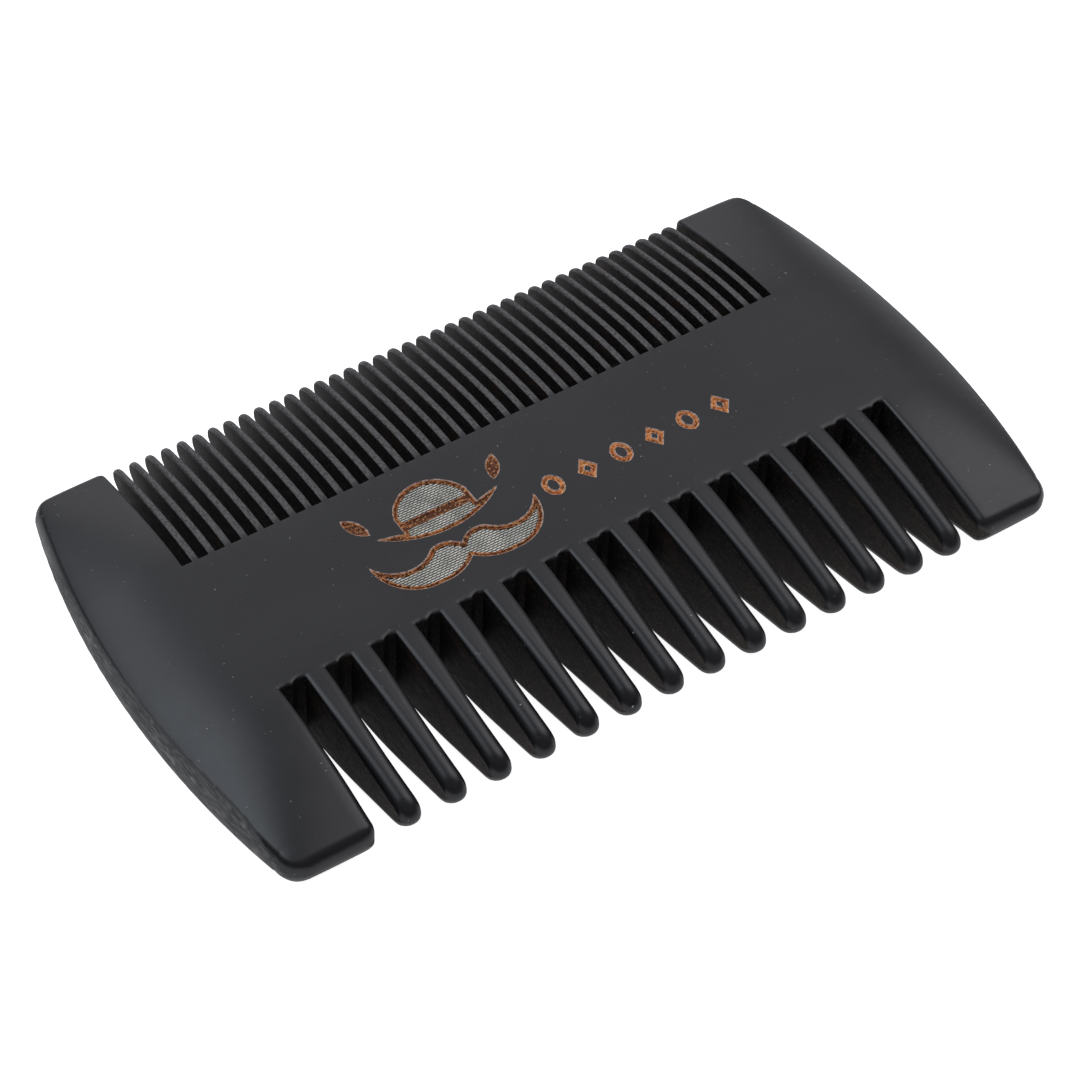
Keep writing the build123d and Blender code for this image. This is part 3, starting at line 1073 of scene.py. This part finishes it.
# Wide glow behind the comb: azimuth, elevation, narrowness, strength and colour
BACK_GLOW = (20, 30, 14, 1.13, (0.98, 0.98, 1.05))


def make_floor():
    """Pale floor, lit so evenly that it nearly loses its shadows, and clear from below."""
    mesh = bpy.data.meshes.new("floor")
    corners = [(x * FLOOR_HALF, y * FLOOR_HALF, (LOW[2] - FLOOR_GAP) * MM)
               for x, y in ((-1, -1), (1, -1), (1, 1), (-1, 1))]
    mesh.from_pydata(corners, [], [(0, 1, 2, 3)])
    n = Nodes("pale_floor")
    colour = n.blend(n.noise((0.01, 0.01, 0.01)), *FLOOR_GREY)
    seen = n.add("ShaderNodeLightPath").outputs["Is Camera Ray"]
    glow = n.span(seen, 0.0, 1.0, FLOOR_BOUNCE, FLOOR_GLOW)
    n.finish(colour, 0.9, n.bump(n.noise((0.3, 0.3, 0.3)), 0.01), Emission_Strength=glow,
             Emission_Color=(*WHITE, 1.0), Specular_IOR_Level=0.0)
    sides = n.add("ShaderNodeMixShader")
    n.join(n.add("ShaderNodeNewGeometry").outputs["Backfacing"], sides.inputs["Fac"])
    n.join(n.shader.outputs["BSDF"], sides.inputs[1])
    n.join(n.add("ShaderNodeBsdfTransparent").outputs["BSDF"], sides.inputs[2])
    n.join(sides.outputs["Shader"], n.tree.nodes["Material Output"].inputs["Surface"])
    mesh.materials.append(n.material)
    link(bpy.data.objects.new("floor", mesh))


def make_sky():
    """Studio of soft panels over a dim horizon, white where the camera sees it directly."""
    world = bpy.data.worlds.new("studio")
    world.use_nodes = True
    bpy.context.scene.world = world
    world.node_tree.nodes.clear()
    n = Tree(world.node_tree)
    look = n.add("ShaderNodeTexCoord").outputs["Generated"]
    split = n.add("ShaderNodeSeparateXYZ")
    n.join(look, split.inputs[0])
    top = n.span(split.outputs["Y"], *FRONT_TO_BACK, FRONT_TOP, BACK_TOP)
    light = n.tinted(n.span(split.outputs["Z"], *SKY_RISE, HORIZON, top), SKY_TINT)
    azimuth, elevation, narrow, strength, colour = BACK_GLOW
    aside = n.math("SUBTRACT", towards(n, look, azimuth, elevation), 1.0)
    fall = n.math("MULTIPLY", aside, narrow)
    glow = n.math("MULTIPLY", n.math("EXPONENT", fall), strength)
    light = n.plus(light, n.tinted(glow, colour))
    for azimuth, elevation, inner, outer, strength, colour in SOFT_BOXES:
        edges = [math.cos(math.radians(angle)) for angle in (outer, inner)]
        box = n.span(towards(n, look, azimuth, elevation), *edges, 0.0, strength)
        light = n.plus(light, n.tinted(box, colour))
    seen = n.add("ShaderNodeLightPath").outputs["Is Camera Ray"]
    background = n.add("ShaderNodeBackground")
    n.join(n.blend(seen, light, WHITE), background.inputs["Color"])
    n.join(background.outputs[0], n.add("ShaderNodeOutputWorld").inputs[0])


def towards(n, look, azimuth, elevation):
    """How far a look points in a direction: 1 straight at it, less to its side."""
    node = n.add("ShaderNodeVectorMath", operation="DOT_PRODUCT")
    n.join(look, node.inputs[0])
    node.inputs[1].default_value = direction(azimuth, elevation)
    return node.outputs["Value"]


def direction(azimuth, elevation):
    """Unit vector for an azimuth from +Y towards +X and an elevation, in degrees."""
    azimuth, elevation = math.radians(azimuth), math.radians(elevation)
    return (math.sin(azimuth) * math.cos(elevation), math.cos(azimuth) * math.cos(elevation),
            math.sin(elevation))


# Camera, fitted to the photo: it stands at AZIMUTH, from -Y towards +X
LENS, SENSOR = 83.06, 36.0
AZIMUTH, ELEVATION, ROLL = -36.765, 48.843, 4.057
TARGET = (-3.54, -4.04, 4.4)
CAMERA_DISTANCE = 260.98
CLIP = (0.01, 20)


def make_camera():
    data = bpy.data.cameras.new("camera")
    data.lens, data.sensor_width = LENS, SENSOR
    data.clip_start, data.clip_end = CLIP
    back = Vector(direction(180 - AZIMUTH, ELEVATION))
    right = Vector((0, 0, 1)).cross(back).normalized()
    up = back.cross(right)
    roll = math.radians(ROLL)
    across = right * math.cos(roll) + up * math.sin(roll)
    above = up * math.cos(roll) - right * math.sin(roll)
    camera = link(bpy.data.objects.new("camera", data))
    camera.matrix_world = Matrix((across, above, back)).transposed().to_4x4()
    camera.location = (Vector(TARGET) + back * CAMERA_DISTANCE) * MM
    bpy.context.scene.camera = camera


make_floor()
make_sky()
make_camera()
bpy.context.scene.view_settings.view_transform = "Standard"
